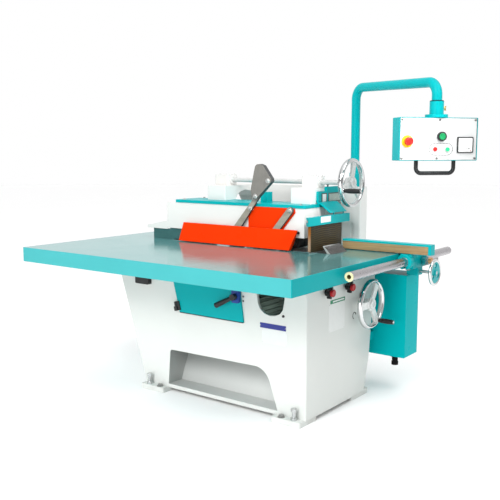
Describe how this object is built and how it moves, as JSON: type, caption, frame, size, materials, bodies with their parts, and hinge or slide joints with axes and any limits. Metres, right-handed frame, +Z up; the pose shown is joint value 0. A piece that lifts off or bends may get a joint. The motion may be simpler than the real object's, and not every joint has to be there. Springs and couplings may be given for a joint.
{
  "type": "rip saw",
  "caption": "Straight-line rip saw: cast table on a hollow base, chain feed under a press hood, swinging guard, sliding fence, handwheels and a control box on a swivelling boom.",
  "frame": {"origin": "centre of the four anchor holes, on the floor", "axes": "+X to the operator's right, +Y along the feed, +Z up"},
  "size_m": [1.659, 2.2954, 1.7818],
  "materials": {
    "white_paint": "gloss",
    "teal_paint": "gloss",
    "table_iron": "ground and polished",
    "red_paint": "gloss",
    "grey_steel": "satin",
    "steel": "ground",
    "chrome": "polished",
    "dark_iron": "as cast",
    "finger_steel": "oiled",
    "wood": "planed",
    "black_plastic": "matte",
    "red_plastic": "gloss",
    "green_plastic": "gloss",
    "rubber": "matte",
    "black_rubber": "matte",
    "brass": "turned",
    "white_panel": "satin"
  },
  "bodies": {
    "frame": {"base_casting": "white_paint", "levelling_screws": "steel", "table_top": "table_iron", "feed_chain": "dark_iron", "chain_bed": "dark_iron", "feed_gear_motor": "dark_iron", "saw_guides": "steel", "door_hinges": "black_plastic", "side_buffer": "black_plastic", "upper_frame": "white_paint", "frame_caps": "white_paint", "press_hood": "white_paint", "hood_top_plate": "teal_paint", "outfeed_skirts": "rubber", "finger_bar": "teal_paint", "guard_mount": "red_paint", "fence_rail": "steel", "cabinet_shell": "teal_paint"},
    "idler": {"idler_wheel": "steel"},
    "drive": {"drive_wheel": "steel"},
    "saw_unit": {"saw_carriage": "dark_iron", "saw_motor": "dark_iron", "drive_belt": "black_rubber"},
    "arbor": {"saw_arbor": "steel", "saw_blade": "steel"},
    "motor_shaft": {"motor_pulley": "dark_iron"},
    "door": {"access_door": "teal_paint", "door_fittings": "black_plastic"},
    "latch_lever": {"door_lever": "black_plastic"},
    "beam": {"press_beam": "dark_iron"},
    "roller_1": {"press_roller_1": "black_rubber"},
    "roller_2": {"press_roller_2": "black_rubber"},
    "roller_3": {"press_roller_3": "black_rubber"},
    "roller_4": {"press_roller_4": "black_rubber"},
    "lift_wheel": {"upper_handwheel": "chrome"},
    "lift_grip": {"upper_crank_grip": "black_plastic"},
    "fingers": {"kickback_fingers": "finger_steel"},
    "low_fingers": {"lower_fingers": "grey_steel"},
    "guard_arm": {"guard_lever": "grey_steel"},
    "guard_strut": {"guard_link": "grey_steel"},
    "guard": {"safety_guard": "red_paint"},
    "saw_wheel": {"lower_handwheel": "chrome"},
    "saw_grip": {"lower_crank_grip": "black_plastic"},
    "knob_left": {"star_knob_left": "black_plastic"},
    "knob_right": {"star_knob_right": "black_plastic"},
    "fence": {"fence_bracket": "teal_paint", "fence_beam": "teal_paint", "fence_facing": "wood"},
    "fence_wheel": {"fence_handwheel": "teal_paint"},
    "fence_lock": {"fence_lock_knob": "teal_paint"},
    "service_door": {"cabinet_door": "teal_paint"},
    "boom": {"boom_pipe": "teal_paint"},
    "pendant": {"control_box": "teal_paint", "control_panel": "white_panel", "pendant_handle": "black_plastic"},
    "clamp": {"clamp_screw": "brass"},
    "stop_head": {"stop_mushroom": "red_plastic"},
    "start_cap": {"start_button": "green_plastic"},
    "stop_cap": {"stop_button": "red_plastic"},
    "feed_cap": {"feed_button": "green_plastic"}
  },
  "joints": [
    {"name": "drive_spin", "type": "hinge", "parent": "frame", "child": "drive", "pos_m": [0.214, 0.61, 0.702], "axis": [1, 0, 0], "continuous": true},
    {"name": "idler_spin", "type": "hinge", "parent": "frame", "child": "idler", "pos_m": [0.214, -0.313, 0.702], "axis": [1, 0, 0], "continuous": true},
    {"name": "saw_lift", "type": "slide", "parent": "frame", "child": "saw_unit", "axis": [0, 0, 1], "range_m": [-0.06, 0]},
    {"name": "arbor_spin", "type": "hinge", "parent": "saw_unit", "child": "arbor", "pos_m": [0.269, 0.085, 0.722], "axis": [1, 0, 0], "continuous": true},
    {"name": "motor_spin", "type": "hinge", "parent": "saw_unit", "child": "motor_shaft", "pos_m": [0.309, 0.085, 0.455], "axis": [1, 0, 0], "continuous": true},
    {"name": "door_swing", "type": "hinge", "parent": "frame", "child": "door", "pos_m": [-0.329, 0.2997, 0.516], "axis": [0, -0.2567, -0.9665], "range_deg": [0, 105]},
    {"name": "latch_turn", "type": "hinge", "parent": "door", "child": "latch_lever", "pos_m": [-0.351, -0.13, 0.622], "axis": [1, 0, 0], "range_deg": [0, 70]},
    {"name": "beam_lift", "type": "slide", "parent": "frame", "child": "beam", "axis": [0, 0, 1], "range_m": [0, 0.055]},
    {"name": "roller_1_spin", "type": "hinge", "parent": "beam", "child": "roller_1", "pos_m": [0.214, -0.17, 0.863], "axis": [1, 0, 0], "continuous": true},
    {"name": "roller_2_spin", "type": "hinge", "parent": "beam", "child": "roller_2", "pos_m": [0.214, -0.075, 0.863], "axis": [1, 0, 0], "continuous": true},
    {"name": "roller_3_spin", "type": "hinge", "parent": "beam", "child": "roller_3", "pos_m": [0.214, 0.295, 0.863], "axis": [1, 0, 0], "continuous": true},
    {"name": "roller_4_spin", "type": "hinge", "parent": "beam", "child": "roller_4", "pos_m": [0.214, 0.515, 0.863], "axis": [1, 0, 0], "continuous": true},
    {"name": "lift_wheel_turn", "type": "hinge", "parent": "frame", "child": "lift_wheel", "pos_m": [0.373, -0.115, 1.202], "axis": [0, 1, 0], "range_deg": [-2, 480]},
    {"name": "lift_grip_spin", "type": "hinge", "parent": "lift_wheel", "child": "lift_grip", "pos_m": [0.263, -0.48, 1.161], "axis": [0, 1, 0], "continuous": true},
    {"name": "fingers_swing", "type": "hinge", "parent": "frame", "child": "fingers", "pos_m": [0.239, -0.334, 1], "axis": [1, 0, 0], "range_deg": [0, 36]},
    {"name": "low_fingers_swing", "type": "hinge", "parent": "frame", "child": "low_fingers", "pos_m": [0.222, -0.427, 0.803], "axis": [1, 0, 0], "range_deg": [-36, 0]},
    {"name": "guard_swing", "type": "hinge", "parent": "frame", "child": "guard_arm", "pos_m": [0.119, 0.111, 1.048], "axis": [1, 0, 0], "range_deg": [0, 38]},
    {"name": "guard_strut_swing", "type": "hinge", "parent": "frame", "child": "guard_strut", "pos_m": [0.119, -0.167, 1.048], "axis": [1, 0, 0], "range_deg": [0, 38]},
    {"name": "guard_level", "type": "hinge", "parent": "guard_arm", "child": "guard", "pos_m": [0.119, 0.219, 0.92], "axis": [1, 0, 0], "range_deg": [-38, 0]},
    {"name": "saw_wheel_turn", "type": "hinge", "parent": "frame", "child": "saw_wheel", "pos_m": [0.227, -0.415, 0.551], "axis": [0, 1, 0], "range_deg": [-520, 2]},
    {"name": "saw_grip_spin", "type": "hinge", "parent": "saw_wheel", "child": "saw_grip", "pos_m": [0.284, -0.695, 0.452], "axis": [0, 1, 0], "continuous": true},
    {"name": "knob_left_turn", "type": "hinge", "parent": "frame", "child": "knob_left", "pos_m": [-0.14, -0.555, 0.664], "axis": [0, 1, 0], "range_deg": [-180, 180]},
    {"name": "knob_right_turn", "type": "hinge", "parent": "frame", "child": "knob_right", "pos_m": [0.068, -0.555, 0.664], "axis": [0, 1, 0], "range_deg": [-180, 180]},
    {"name": "fence_slide", "type": "slide", "parent": "frame", "child": "fence", "axis": [1, 0, 0], "range_m": [-0.05, 0.28]},
    {"name": "fence_wheel_turn", "type": "hinge", "parent": "fence", "child": "fence_wheel", "pos_m": [0.489, -0.815, 0.715], "axis": [0, 1, 0], "range_deg": [-1075, 195]},
    {"name": "fence_lock_turn", "type": "hinge", "parent": "fence", "child": "fence_lock", "pos_m": [0.509, -0.805, 0.777], "axis": [0, 1, 0], "range_deg": [-90, 90]},
    {"name": "service_door_swing", "type": "hinge", "parent": "frame", "child": "service_door", "pos_m": [0.61, -0.359, 0.45], "axis": [0, 0, 1], "range_deg": [0, 88]},
    {"name": "boom_swivel", "type": "hinge", "parent": "frame", "child": "boom", "pos_m": [0.654, -0.281, 1.22], "axis": [0, 0, 1], "range_deg": [-45, 45]},
    {"name": "pendant_swivel", "type": "hinge", "parent": "boom", "child": "pendant", "pos_m": [0.30424, -0.9388, 1.6], "axis": [0, 0, 1], "range_deg": [-60, 60]},
    {"name": "clamp_turn", "type": "hinge", "parent": "pendant", "child": "clamp", "pos_m": [0.33821, -0.96832, 1.597], "axis": [0.7547, -0.6561, 0], "range_deg": [-120, 120]},
    {"name": "stop_push", "type": "slide", "parent": "pendant", "child": "stop_head", "axis": [0.6561, 0.7547, 0], "range_m": [0, 0.005], "stiffness_N_per_m": 900},
    {"name": "start_push", "type": "slide", "parent": "pendant", "child": "start_cap", "axis": [0.6561, 0.7547, 0], "range_m": [0, 0.004], "stiffness_N_per_m": 600},
    {"name": "stop_button_push", "type": "slide", "parent": "pendant", "child": "stop_cap", "axis": [0.6561, 0.7547, 0], "range_m": [0, 0.003], "stiffness_N_per_m": 600},
    {"name": "feed_button_push", "type": "slide", "parent": "pendant", "child": "feed_cap", "axis": [0.6561, 0.7547, 0], "range_m": [0, 0.003], "stiffness_N_per_m": 600}
  ],
  "couplings": [
    {"joint": "idler_spin", "follows": "drive_spin", "ratio": 1},
    {"joint": "motor_spin", "follows": "arbor_spin", "ratio": 1},
    {"joint": "saw_wheel_turn", "follows": "saw_lift", "rad_per_m": 150},
    {"joint": "lift_wheel_turn", "follows": "beam_lift", "rad_per_m": 150},
    {"joint": "guard_strut_swing", "follows": "guard_swing", "ratio": 1},
    {"joint": "guard_level", "follows": "guard_swing", "ratio": -1},
    {"joint": "fence_wheel_turn", "follows": "fence_slide", "rad_per_m": -66.667}
  ]
}
